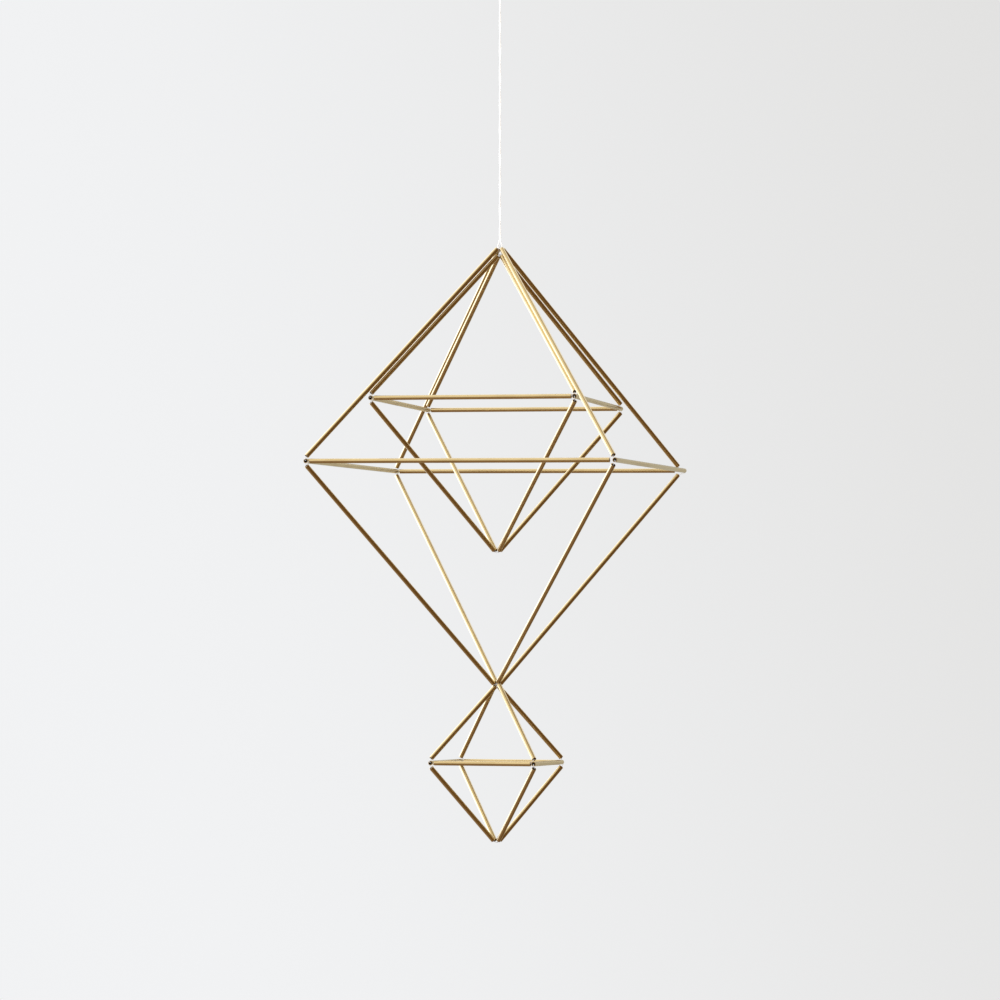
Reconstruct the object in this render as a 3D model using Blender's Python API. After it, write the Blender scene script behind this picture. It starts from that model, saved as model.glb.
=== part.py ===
"""A hanging mobile of brass tubes, in metres with +Z up.

Three octahedra of twelve straight tubes each are threaded on white thread. A large one hangs from
a cotton string, a middle one hangs inside it from the same top joint, and a small one is hooked
under the lowest joint. The world origin is the inside top of the string's hanging loop, X runs
along the front tubes of the large octahedron and -Y is its front.
"""
import math

import bpy
from mathutils import Matrix, Vector

# Tubes
TUBE_OD = 0.00238
TUBE_BORE = 0.00167
OUTER_TUBE_LENGTH = 0.1524
INNER_TUBE_LENGTH = 0.1016
PENDANT_TUBE_LENGTH = 0.0508
TUBE_SIDES = 14

# Gap that touching pieces keep
CLEARANCE = 0.0003

# Thread and string
THREAD_DIAMETER = 0.0004
STRING_DIAMETER = 0.0010
STRING_LENGTH = 0.130
EYE_PLY_DIAMETER = 0.0005
EYE_HEIGHT = 0.0050
EYE_HALF_WIDTH = 0.00110
EYE_SETBACK = 0.0003
KNOT_DIAMETER = 0.0034
KNOT_HEIGHT = 0.0042
LOOP_HEIGHT = 0.018
LOOP_WIDTH = 0.010

# How the octahedra hang: turn about the vertical, then lean about X and about Y, in degrees
OUTER_TURN = 0.0
OUTER_LEAN = (0.90, 0.65)
INNER_TURN = 0.0
INNER_LEAN = (0.45, 0.70)
PENDANT_TURN = -2.1
PENDANT_LEAN = (-1.35, -0.20)
NEST_DROP = 0.00385
PENDANT_DROP = 0.00137

# How far the large octahedron's right ring tube stands out at its front and back end
OUTER_RIGHT_SHIFT = {"front_right": 0.0010, "back_right": 0.0032}

# Joints
TUBE_RADIUS = TUBE_OD / 2
BUTT_GAP = THREAD_DIAMETER + 0.0002
SEAT_RISE = (1 + math.sin(math.radians(45))) * TUBE_RADIUS + CLEARANCE
CLOSE_SPREAD = math.sin(math.radians(45)) * TUBE_RADIUS + CLEARANCE / 2
WIDE_SLACK = 0.0002
ARC_OFFSET = 0.00025
ARC_HALF_LENGTH = 0.00065
ARC_RISE = 0.0011
HOOK_DIP = 0.0005
HOOK_RISE = PENDANT_DROP + 0.00015

# Corners of a ring, as the signs of their X and Y
CORNERS = {
    "front_left": (-1, -1),
    "front_right": (1, -1),
    "back_right": (1, 1),
    "back_left": (-1, 1),
}


def clear_scene():
    """Remove every object that the scene holds."""
    for item in list(bpy.data.objects):
        bpy.data.objects.remove(item, do_unlink=True)


def make_material(name, colour, roughness, metallic):
    """Return a Principled material."""
    material = bpy.data.materials.new(name)
    material.use_nodes = True
    shader = material.node_tree.nodes["Principled BSDF"]
    shader.inputs["Base Color"].default_value = (*colour, 1.0)
    shader.inputs["Roughness"].default_value = roughness
    shader.inputs["Metallic"].default_value = metallic
    return material


def make_tube_mesh(name, length, material):
    """Return a hollow tube along +Z from the origin, with square-cut ends."""
    rings = []
    for radius, z in (
        (TUBE_RADIUS, 0.0),
        (TUBE_RADIUS, length),
        (TUBE_BORE / 2, length),
        (TUBE_BORE / 2, 0.0),
    ):
        ring = []
        for i in range(TUBE_SIDES):
            angle = 2 * math.pi * i / TUBE_SIDES
            ring.append((radius * math.cos(angle), radius * math.sin(angle), z))
        rings.append(ring)
    points = [point for ring in rings for point in ring]
    faces = []
    for band in range(4):
        low = band * TUBE_SIDES
        high = (band + 1) % 4 * TUBE_SIDES
        for i in range(TUBE_SIDES):
            j = (i + 1) % TUBE_SIDES
            faces.append((low + i, low + j, high + j, high + i))
    mesh = bpy.data.meshes.new(name)
    mesh.from_pydata(points, [], faces)
    mesh.materials.append(material)
    mesh.shade_smooth()
    mesh.set_sharp_from_angle(angle=math.radians(40))
    return mesh


def place_tube(name, mesh, start, end):
    """Add a tube whose open ends are centred on the two points."""
    tube = bpy.data.objects.new(name, mesh)
    turn = (end - start).to_track_quat("Z", "Y").to_matrix().to_4x4()
    tube.matrix_world = Matrix.Translation(start) @ turn
    bpy.context.collection.objects.link(tube)


def smooth_through(points, samples, closed=False):
    """Return points of a smooth curve that passes through the given ones."""
    if closed:
        padded = [points[-1], *points, points[0], points[1]]
    else:
        padded = [2 * points[0] - points[1], *points, 2 * points[-1] - points[-2]]
    path = []
    for i in range(len(padded) - 3):
        a, b, c, d = padded[i:i + 4]
        for k in range(samples):
            t = k / samples
            bend = (2 * a - 5 * b + 4 * c - d) * t ** 2 + (3 * b - a - 3 * c + d) * t ** 3
            path.append(0.5 * (2 * b + (c - a) * t + bend))
    if not closed:
        path.append(points[-1].copy())
    return path


def add_line(name, path, diameter, material, closed=False, resolution=2):
    """Add a round cord along a path of points."""
    curve = bpy.data.curves.new(name, "CURVE")
    curve.dimensions = "3D"
    curve.bevel_depth = diameter / 2
    curve.bevel_resolution = resolution
    curve.use_fill_caps = not closed
    spline = curve.splines.new("POLY")
    spline.points.add(len(path) - 1)
    for point, place in zip(spline.points, path):
        point.co = (*place, 1.0)
    spline.use_cyclic_u = closed
    spline.use_smooth = True
    curve.materials.append(material)
    cord = bpy.data.objects.new(name, curve)
    bpy.context.collection.objects.link(cord)


class Octahedron:
    """Twelve tubes butted into a square ring, with four sloping up and four sloping down.

    The front and back tubes of the ring butt between the left and right ones. The sloping tubes
    stand over and under the ring's corners and lean together at the top and bottom joints. A joint
    is a pair of words: how far off the axis the front left and back right tubes end, then the others.
    """

    def __init__(self, label, length, apex, turn, lean, top_joint, bottom_joint, shift=None):
        self.label = label
        self.shift = shift or {}
        self.length = length
        self.side_x = length / 2 + BUTT_GAP + TUBE_RADIUS
        self.front_y = length / 2 - TUBE_RADIUS
        self.reach = math.hypot(self.side_x, self.front_y)
        across = self.front_y / self.reach
        slant = across * self.reach / length
        even = (TUBE_RADIUS * math.sqrt(1 - slant ** 2) + CLEARANCE / 2) / across
        spreads = {"close": CLOSE_SPREAD, "even": even, "wide": even + WIDE_SLACK}
        self.top_spread = [spreads[word] for word in top_joint]
        self.bottom_spread = [spreads[word] for word in bottom_joint]
        self.ring_z = -(SEAT_RISE + self.rise(self.top_spread[0]))
        leaning = Matrix.Rotation(math.radians(lean[1]), 4, "Y")
        leaning = leaning @ Matrix.Rotation(math.radians(lean[0]), 4, "X")
        turning = Matrix.Rotation(math.radians(turn), 4, "Z")
        self.placing = Matrix.Translation(apex) @ leaning @ turning

    def rise(self, spread):
        """Return how far a sloping tube climbs when its joint end is this far off the axis."""
        return math.sqrt(self.length ** 2 - (self.reach - spread) ** 2)

    def place(self, x, y, z):
        """Return a point of the hanging octahedron from ring coordinates."""
        return self.placing @ Vector((x, y, self.ring_z + z))

    def spread(self, corner, level):
        """Return how far off the axis a sloping tube's joint end is."""
        spreads = self.top_spread if level > 0 else self.bottom_spread
        return spreads[0] if CORNERS[corner][0] == CORNERS[corner][1] else spreads[1]

    def sloping_ends(self, corner, level):
        """Return the joint end and the corner end of a sloping tube, in ring coordinates."""
        sign_x, sign_y = CORNERS[corner]
        spread = self.spread(corner, level)
        out = Vector((sign_x * self.side_x, sign_y * self.front_y, 0)) / self.reach
        joint = out * spread + Vector((0, 0, level * (SEAT_RISE + self.rise(spread))))
        seat = out * self.reach + Vector((0, 0, level * SEAT_RISE))
        return joint, seat

    def joint_z(self, level):
        """Return the height of a joint, where the front left tube's end lies."""
        return level * (SEAT_RISE + self.rise(self.spread("front_left", level)))

    def bottom(self):
        """Return the middle of the lowest joint."""
        return self.place(0, 0, self.joint_z(-1))

    def side_end(self, corner):
        """Return where a left or right ring tube ends, in ring coordinates."""
        sign_x, sign_y = CORNERS[corner]
        return sign_x * (self.side_x + self.shift.get(corner, 0)), sign_y * self.length / 2

    def add_tubes(self, material):
        """Add the twelve tubes."""
        mesh = make_tube_mesh(self.label + "_tube", self.length, material)
        half = self.length / 2
        ring = {
            "front": ((-half, -self.front_y), (half, -self.front_y)),
            "right": (self.side_end("front_right"), self.side_end("back_right")),
            "back": ((half, self.front_y), (-half, self.front_y)),
            "left": (self.side_end("back_left"), self.side_end("front_left")),
        }
        for side, (start, end) in ring.items():
            name = self.label + "_ring_" + side
            place_tube(name, mesh, self.place(*start, 0), self.place(*end, 0))
        for corner in CORNERS:
            for level, part in ((1, "top"), (-1, "bottom")):
                joint, seat = self.sloping_ends(corner, level)
                name = self.label + "_" + part + "_" + corner
                place_tube(name, mesh, self.place(*joint), self.place(*seat))

    def corner_pass(self, corner, level, into_side):
        """Return the thread's way from a sloping tube into a ring tube at a corner."""
        sign_x, sign_y = CORNERS[corner]
        joint, seat = self.sloping_ends(corner, level)
        inward = (joint - seat).normalized()
        end_y = self.front_y + TUBE_RADIUS
        side_x = self.side_x + self.shift.get(corner, 0)
        gap_x = self.side_x - TUBE_RADIUS - BUTT_GAP / 2
        step = THREAD_DIAMETER
        if into_side:
            ways = (
                (self.side_x + step, self.front_y + 2.4 * step, SEAT_RISE - step),
                (side_x + step, end_y + 1.4 * step, SEAT_RISE - 3 * step),
                (side_x + 0.3 * step, end_y + 1.5 * step, step),
                (side_x, end_y - step, 0),
                (side_x, end_y - 6 * step, 0),
            )
        else:
            ways = (
                (self.side_x, self.front_y + 2.4 * step, SEAT_RISE - step),
                (self.side_x - 1.8 * step, end_y + 1.3 * step, SEAT_RISE - 3 * step),
                (gap_x, end_y + 0.8 * step, 1.3 * step),
                (gap_x, self.front_y + 1.55 * step, 0.4 * step),
                (gap_x - 2.2 * step, self.front_y + 0.3 * step, 0),
                (gap_x - 8 * step, self.front_y, 0),
            )
        route = [seat + inward * 6 * step, seat]
        for x, y, z in ways:
            route.append(Vector((sign_x * x, sign_y * y, level * z)))
        return [self.place(*point) for point in route]

    def joint_pass(self, first, second, level, crown):
        """Return the thread's way from one sloping tube into its neighbour at a joint."""
        top_z = self.joint_z(level) + level * crown
        aside = (ARC_OFFSET, ARC_HALF_LENGTH) if level > 0 else (ARC_HALF_LENGTH, ARC_OFFSET)
        route = []
        for corner in (first, second):
            joint, seat = self.sloping_ends(corner, level)
            sign_x, sign_y = CORNERS[corner]
            inside = joint + (seat - joint).normalized() * 6 * THREAD_DIAMETER
            beside = Vector((sign_x * aside[0], sign_y * aside[1], top_z - 0.4 * level * ARC_OFFSET))
            route.append([inside, joint, beside])
        middle = (route[0][2] + route[1][2]) / 2
        middle.z = top_z
        way = [*route[0], middle, *reversed(route[1])]
        return [self.place(*point) for point in smooth_through(way, 2)]

    def add_thread(self, material, top_crown, bottom_crown):
        """Add the closed thread that runs once through each tube."""
        way = self.corner_pass("front_left", 1, True)
        way += self.corner_pass("back_left", -1, True)[::-1]
        way += self.joint_pass("back_left", "back_right", -1, bottom_crown)
        way += self.corner_pass("back_right", -1, True)
        way += self.corner_pass("front_right", -1, True)[::-1]
        way += self.joint_pass("front_right", "front_left", -1, bottom_crown)
        way += self.corner_pass("front_left", -1, False)
        way += self.corner_pass("front_right", 1, False)[::-1]
        way += self.joint_pass("front_right", "back_right", 1, top_crown)
        way += self.corner_pass("back_right", 1, False)
        way += self.corner_pass("back_left", 1, False)[::-1]
        way += self.joint_pass("back_left", "front_left", 1, top_crown)
        name = self.label + "_thread"
        add_line(name, way, THREAD_DIAMETER, material, closed=True, resolution=1)


def add_eye(apex, material):
    """Add the string's eye, which passes under the large octahedron's two thread arcs."""
    low = ARC_RISE - (THREAD_DIAMETER + EYE_PLY_DIAMETER) / 2 - 0.0002
    shape = (
        (0, EYE_HEIGHT),
        (-0.30 * EYE_HALF_WIDTH, 0.78 * EYE_HEIGHT),
        (-EYE_HALF_WIDTH, 0.34 * EYE_HEIGHT),
        (-0.85 * EYE_HALF_WIDTH, low + 0.5 * EYE_PLY_DIAMETER),
        (0, low),
        (0.85 * EYE_HALF_WIDTH, low + 0.5 * EYE_PLY_DIAMETER),
        (EYE_HALF_WIDTH, 0.34 * EYE_HEIGHT),
        (0.30 * EYE_HALF_WIDTH, 0.78 * EYE_HEIGHT),
    )
    points = [apex + Vector((x, -EYE_SETBACK if z < EYE_HEIGHT else 0, z)) for x, z in shape]
    path = smooth_through(points, 3, closed=True)
    add_line("string_eye", path, EYE_PLY_DIAMETER, material, closed=True, resolution=1)


def add_nest_tie(apex, nest_apex, material):
    """Add the thread loop that hangs the middle octahedron from the large one's thread arcs."""
    half = ARC_OFFSET + THREAD_DIAMETER + 0.00003
    high = ARC_RISE + THREAD_DIAMETER + 0.00015
    low = ARC_RISE - THREAD_DIAMETER - 0.00015
    top = apex + Vector((0, ARC_OFFSET, high))
    bottom = nest_apex + Vector((0, ARC_OFFSET, low))
    across = Vector((half, 0, 0))
    drop = Vector((0, 0, 0.8 * THREAD_DIAMETER))
    points = [
        top,
        top - across - drop,
        (top + bottom) / 2 - across,
        bottom - across + drop,
        bottom,
        bottom + across + drop,
        (top + bottom) / 2 + across,
        top + across - drop,
    ]
    path = smooth_through(points, 3, closed=True)
    add_line("nest_tie", path, THREAD_DIAMETER, material, closed=True, resolution=1)


def add_knot(bottom, material):
    """Add the knot that closes the hanging loop, as a barrel with eased shoulders."""
    profile = ((0.45, 0.0), (0.85, 0.14), (1.0, 0.36), (1.0, 0.64), (0.85, 0.86), (0.45, 1.0))
    sides = 12
    points = []
    for radius, height in profile:
        for i in range(sides):
            angle = 2 * math.pi * i / sides
            x = radius * KNOT_DIAMETER / 2 * math.cos(angle)
            y = radius * KNOT_DIAMETER / 2 * math.sin(angle)
            points.append((x, y, height * KNOT_HEIGHT))
    faces = [tuple(reversed(range(sides)))]
    for band in range(len(profile) - 1):
        for i in range(sides):
            j = (i + 1) % sides
            low = band * sides
            high = low + sides
            faces.append((low + i, low + j, high + j, high + i))
    faces.append(tuple(range((len(profile) - 1) * sides, len(profile) * sides)))
    mesh = bpy.data.meshes.new("hanging_knot")
    mesh.from_pydata(points, [], faces)
    mesh.materials.append(material)
    mesh.shade_smooth()
    mesh.set_sharp_from_angle(angle=math.radians(50))
    knot = bpy.data.objects.new("hanging_knot", mesh)
    knot.location = bottom
    bpy.context.collection.objects.link(knot)


def add_loop(bottom, material):
    """Add the loop that goes over a hook. Its lowest point rests on the knot."""
    shape = (
        (0, 0),
        (-0.22 * LOOP_WIDTH, 0.12 * LOOP_HEIGHT),
        (-0.47 * LOOP_WIDTH, 0.45 * LOOP_HEIGHT),
        (-0.50 * LOOP_WIDTH, 0.72 * LOOP_HEIGHT),
        (-0.29 * LOOP_WIDTH, 0.94 * LOOP_HEIGHT),
        (0, LOOP_HEIGHT),
        (0.29 * LOOP_WIDTH, 0.94 * LOOP_HEIGHT),
        (0.50 * LOOP_WIDTH, 0.72 * LOOP_HEIGHT),
        (0.47 * LOOP_WIDTH, 0.45 * LOOP_HEIGHT),
        (0.22 * LOOP_WIDTH, 0.12 * LOOP_HEIGHT),
    )
    points = [bottom + Vector((x, 0, z)) for x, z in shape]
    path = smooth_through(points, 3, closed=True)
    add_line("hanging_loop", path, STRING_DIAMETER, material, closed=True)


def build():
    """Build the whole mobile, from the hanging loop down."""
    clear_scene()
    brass = make_material("brass", (0.68, 0.50, 0.26), 0.28, 1.0)
    cotton = make_material("cotton", (0.86, 0.85, 0.82), 0.85, 0.0)
    thread = make_material("thread", (0.84, 0.83, 0.80), 0.75, 0.0)

    loop_bottom = STRING_DIAMETER / 2 - LOOP_HEIGHT
    knot_bottom = loop_bottom - STRING_DIAMETER / 2 - CLEARANCE - KNOT_HEIGHT
    string_top = knot_bottom - CLEARANCE
    string_bottom = string_top - STRING_LENGTH
    eye_top = string_bottom - CLEARANCE - EYE_PLY_DIAMETER / 2
    apex = Vector((0, 0, eye_top - EYE_HEIGHT))

    add_loop(Vector((0, 0, loop_bottom)), cotton)
    add_knot(Vector((0, 0, knot_bottom)), cotton)
    string_path = [Vector((0, 0, string_top + (string_bottom - string_top) * i / 40)) for i in range(41)]
    add_line("hanging_string", string_path, STRING_DIAMETER, cotton)
    add_eye(apex, cotton)

    outer = Octahedron("outer", OUTER_TUBE_LENGTH, apex, OUTER_TURN, OUTER_LEAN,
                       ("even", "even"), ("wide", "close"), OUTER_RIGHT_SHIFT)
    nest_apex = apex - Vector((0, 0, NEST_DROP))
    inner = Octahedron("inner", INNER_TUBE_LENGTH, nest_apex, INNER_TURN, INNER_LEAN,
                       ("even", "even"), ("even", "even"))
    pendant_apex = outer.bottom() - Vector((0, 0, PENDANT_DROP))
    pendant = Octahedron("pendant", PENDANT_TUBE_LENGTH, pendant_apex, PENDANT_TURN, PENDANT_LEAN,
                         ("close", "wide"), ("even", "even"))
    for octahedron in (outer, inner, pendant):
        octahedron.add_tubes(brass)
    outer.add_thread(thread, ARC_RISE, HOOK_DIP)
    inner.add_thread(thread, ARC_RISE, ARC_RISE)
    pendant.add_thread(thread, HOOK_RISE, ARC_RISE)
    add_nest_tie(apex, nest_apex, thread)


build()
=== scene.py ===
"""A hanging mobile: three octahedra of straight brass tubes on white thread, under a cotton string.

Lengths are metres in the row frame, with +Z up and -Y the front. The tubes, threads and knots are
surfaces worked out on grids with numpy, and each finish is a set of shader nodes.
"""
import logging
import math
from dataclasses import dataclass, field
from enum import Enum
from typing import Dict, List, Optional, Sequence, Tuple

import bpy
import numpy as np
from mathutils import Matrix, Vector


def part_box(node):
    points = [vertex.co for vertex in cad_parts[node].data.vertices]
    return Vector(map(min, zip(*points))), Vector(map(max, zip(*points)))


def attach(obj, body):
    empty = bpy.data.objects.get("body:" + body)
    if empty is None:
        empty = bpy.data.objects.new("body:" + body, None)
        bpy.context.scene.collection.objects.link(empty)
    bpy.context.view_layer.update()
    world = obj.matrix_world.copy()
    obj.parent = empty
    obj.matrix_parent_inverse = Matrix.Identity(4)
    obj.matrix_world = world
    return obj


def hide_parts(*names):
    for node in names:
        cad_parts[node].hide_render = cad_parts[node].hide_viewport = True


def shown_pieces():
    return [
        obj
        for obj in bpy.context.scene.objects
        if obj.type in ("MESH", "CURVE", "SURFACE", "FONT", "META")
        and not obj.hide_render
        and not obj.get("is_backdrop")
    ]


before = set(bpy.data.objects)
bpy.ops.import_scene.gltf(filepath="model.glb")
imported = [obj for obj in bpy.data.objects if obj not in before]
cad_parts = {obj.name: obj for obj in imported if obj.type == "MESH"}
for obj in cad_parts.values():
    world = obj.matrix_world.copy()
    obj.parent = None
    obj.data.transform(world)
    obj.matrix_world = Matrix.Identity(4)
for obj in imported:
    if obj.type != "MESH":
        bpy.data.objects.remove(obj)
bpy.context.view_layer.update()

logging.basicConfig(level=logging.INFO, format="%(message)s")
log = logging.getLogger("mobile")

Colour = Tuple[float, float, float]
Place = Tuple[float, float, float]
Limits = Tuple[float, float]
Array = np.ndarray
Frames = Tuple[Array, Array, Array]
Piece = bpy.types.Object
Material = bpy.types.Material
Tree = bpy.types.NodeTree
Node = bpy.types.Node
Socket = bpy.types.NodeSocket

MM = 0.001
BODY = "root"
SLOPE = math.sin(math.radians(45))


# Where things hang


class Level(Enum):
    """The upper or the lower half of an octahedron."""

    TOP = 1
    BOTTOM = -1


class Spread(Enum):
    """How far off the axis the sloping tubes end at a joint."""

    CLOSE = "close"
    EVEN = "even"
    WIDE = "wide"


class Ring(Enum):
    """The ring tube that the thread enters at a corner."""

    SIDE = "side"
    FRONT = "front"


CORNERS: Dict[str, Tuple[int, int]] = {
    "front_left": (-1, -1),
    "front_right": (1, -1),
    "back_right": (1, 1),
    "back_left": (-1, 1),
}


@dataclass(frozen=True)
class Stock:
    """The tube, thread and string that the mobile is made of.

    Attributes are diameters, clearances and the offsets of the thread's crossings, in metres.
    """

    tube_od: float = 0.00238
    tube_bore: float = 0.00167
    clearance: float = 0.0003
    thread: float = 0.0004
    string: float = 0.0010
    eye_ply: float = 0.0005
    wide_slack: float = 0.0002
    arc_offset: float = 0.00025
    arc_half_length: float = 0.00065
    arc_rise: float = 0.0011
    hook_dip: float = 0.0005
    pendant_drop: float = 0.00137
    nest_drop: float = 0.00385
    thread_room: float = 0.0002
    slack: float = 0.00015

    @property
    def tube_radius(self) -> float:
        """Half the tube's outside diameter."""
        return self.tube_od / 2

    @property
    def butt_gap(self) -> float:
        """The gap in which the thread passes between two ring tubes."""
        return self.thread + self.thread_room

    @property
    def seat_rise(self) -> float:
        """How far above the ring's middle plane a sloping tube's corner end is."""
        return (1 + SLOPE) * self.tube_radius + self.clearance

    @property
    def close_spread(self) -> float:
        """How far off the axis two opposite tubes end when they touch."""
        return SLOPE * self.tube_radius + self.clearance / 2

    @property
    def hook_rise(self) -> float:
        """How far the small octahedron's thread rises to hook over the one above."""
        return self.pendant_drop + self.slack

    @property
    def dive(self) -> float:
        """How deep in a tube the thread runs straight."""
        return 6 * self.thread


@dataclass(frozen=True)
class Hanging:
    """Heights from the hook down to the large octahedron's top joint."""

    string_length: float = 0.130
    loop_height: float = 0.018
    loop_width: float = 0.010
    knot_height: float = 0.0042
    eye_height: float = 0.0050
    eye_half_width: float = 0.00110
    eye_setback: float = 0.0003
    stock: Stock = field(default_factory=Stock)

    @property
    def loop_bottom(self) -> float:
        """Height of the loop's lowest centre point."""
        return self.stock.string / 2 - self.loop_height

    @property
    def knot_bottom(self) -> float:
        """Height of the knot's underside."""
        return self.loop_bottom - self.stock.string / 2 - self.stock.clearance - self.knot_height

    @property
    def string_top(self) -> float:
        """Height of the string's upper end."""
        return self.knot_bottom - self.stock.clearance

    @property
    def string_bottom(self) -> float:
        """Height of the string's lower end."""
        return self.string_top - self.string_length

    @property
    def apex(self) -> float:
        """Height of the large octahedron's top joint."""
        eye_top = self.string_bottom - self.stock.clearance - self.stock.eye_ply / 2
        return eye_top - self.eye_height


# Shapes as arrays


@dataclass
class Surface:
    """Points, faces and point attributes of one or more skins.

    Attributes:
        points: One row of three coordinates for each point.
        quads: The numbers of each four-sided face's points.
        triangles: The numbers of each three-sided face's points.
        marks: Named values for each point, one number or three.
    """

    points: Array
    quads: Array
    triangles: Array
    marks: Dict[str, Array] = field(default_factory=dict)

    @staticmethod
    def grid(points: Array, marks: Dict[str, Array], close_rows: bool, capped: bool = False) -> "Surface":
        """Join a grid of points, whose columns run round, into one skin.

        Args:
            points: Rows by columns by three. Each row is one ring, and rings follow the surface.
            marks: Values for each point, rows by columns, or rows by columns by three.
            close_rows: Whether the last ring joins the first.
            capped: Whether both ends are closed with a fan round the ring's middle.

        Returns:
            The skin, with faces that point away from the ring's middle.
        """
        rows, columns = points.shape[:2]
        row = np.arange(rows if close_rows else rows - 1)[:, None]
        column = np.arange(columns)[None, :]
        after, beside = (row + 1) % rows, (column + 1) % columns
        here, there = row * columns, after * columns
        corners = (here + column, here + beside, there + beside, there + column)
        quads = np.stack(np.broadcast_arrays(*corners), axis=-1).reshape(-1, 4)
        flat = points.reshape(-1, 3)
        values = {name: v.reshape((rows * columns,) + v.shape[2:]) for name, v in marks.items()}
        triangles = np.zeros((0, 3), int)
        if capped:
            first, last = np.arange(columns), (rows - 1) * columns + np.arange(columns)
            ends = np.array([points[0].mean(axis=0), points[-1].mean(axis=0)])
            low = np.stack([np.roll(first, -1), first, np.full(columns, len(flat))], axis=1)
            high = np.stack([last, np.roll(last, -1), np.full(columns, len(flat) + 1)], axis=1)
            triangles = np.concatenate([low, high])
            flat = np.concatenate([flat, ends])
            values = {
                name: np.concatenate([v, np.stack([marks[name][end].mean(axis=0) for end in (0, -1)])])
                for name, v in values.items()
            }
        return Surface(flat, quads, triangles, values)

    @staticmethod
    def joined(parts: Sequence["Surface"]) -> "Surface":
        """Put several skins into one.

        Args:
            parts: The skins, all with the same marks.

        Returns:
            One skin with their points and faces in order.
        """
        starts = np.cumsum([0] + [len(p.points) for p in parts])[:-1]
        return Surface(
            np.concatenate([p.points for p in parts]),
            np.concatenate([p.quads + s for p, s in zip(parts, starts)]),
            np.concatenate([p.triangles + s for p, s in zip(parts, starts)]),
            {name: np.concatenate([p.marks[name] for p in parts]) for name in parts[0].marks},
        )

    def make(self, name: str, material: Material) -> Piece:
        """Put the skin into a new object at the origin.

        Args:
            name: The object's name.
            material: Its finish.

        Returns:
            The new object.
        """
        mesh = bpy.data.meshes.new(name)
        mesh.from_pydata(self.points.tolist(), [], self.quads.tolist() + self.triangles.tolist())
        for label, values in self.marks.items():
            kind, part = ("FLOAT", "value") if values.ndim == 1 else ("FLOAT_VECTOR", "vector")
            attribute = mesh.attributes.new(label, kind, "POINT")
            attribute.data.foreach_set(part, values.astype(np.float32).ravel())
        mesh.shade_smooth()
        mesh.materials.append(material)
        piece = bpy.data.objects.new(name, mesh)
        bpy.context.scene.collection.objects.link(piece)
        return piece


def turned(axis: str, degrees: float) -> Array:
    """A right-handed turn about one axis.

    Args:
        axis: X, Y or Z.
        degrees: The angle.

    Returns:
        The turn's matrix.
    """
    c, s = math.cos(math.radians(degrees)), math.sin(math.radians(degrees))
    return {
        "X": np.array([[1, 0, 0], [0, c, -s], [0, s, c]]),
        "Y": np.array([[c, 0, s], [0, 1, 0], [-s, 0, c]]),
        "Z": np.array([[c, -s, 0], [s, c, 0], [0, 0, 1]]),
    }[axis]


def unit(vector: Array) -> Array:
    """The vector or vectors at length one."""
    return vector / np.linalg.norm(vector, axis=-1, keepdims=True)


def rounded(
    route: Array, samples: int = 5, share: float = 0.42, most: float = 0.0005, least: float = 1e-6
) -> Array:
    """Ease the corners of a closed route of straight runs.

    Each corner becomes a parabola from a point before it to a point after it. The corner is the
    parabola's control point.

    Args:
        route: The corners, one row each. The last joins the first.
        samples: Points on each parabola.
        share: The largest share of a run that a parabola takes.
        most: The longest distance that it takes.
        least: Points closer than this are one.

    Returns:
        The eased points, in order.
    """
    ends = []
    for step in (1, -1):
        run = np.roll(route, step, axis=0) - route
        length = np.linalg.norm(run, axis=1, keepdims=True)
        ends.append(route + run * np.minimum(share, most / np.maximum(length, least)))
    t = np.linspace(0, 1, samples)[None, :, None]
    eased = (1 - t) ** 2 * ends[0][:, None] + 2 * t * (1 - t) * route[:, None] + t**2 * ends[1][:, None]
    eased = eased.reshape(-1, 3)
    keep = np.linalg.norm(eased - np.roll(eased, 1, axis=0), axis=1) > least
    keep[0] = True
    return eased[keep]


def smooth_through(points: Array, samples: int, closed: bool) -> Array:
    """A smooth curve through given points.

    Each stretch is a cubic whose slope at a point is half the step between its neighbours.

    Args:
        points: The points that the curve passes through.
        samples: Points for each stretch.
        closed: Whether the curve ends where it starts.

    Returns:
        The curve's points.
    """
    if closed:
        padded = np.concatenate([points[-1:], points, points[:2]])
    else:
        padded = np.concatenate([2 * points[:1] - points[1:2], points, 2 * points[-1:] - points[-2:-1]])
    a, b, c, d = (padded[i : len(padded) - 3 + i, None] for i in range(4))
    t = (np.arange(samples) / samples)[None, :, None]
    bend = (2 * a - 5 * b + 4 * c - d) * t**2 + (3 * b - a - 3 * c + d) * t**3
    path = (0.5 * (2 * b + (c - a) * t + bend)).reshape(-1, 3)
    return path if closed else np.concatenate([path, points[-1:]])


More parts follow.
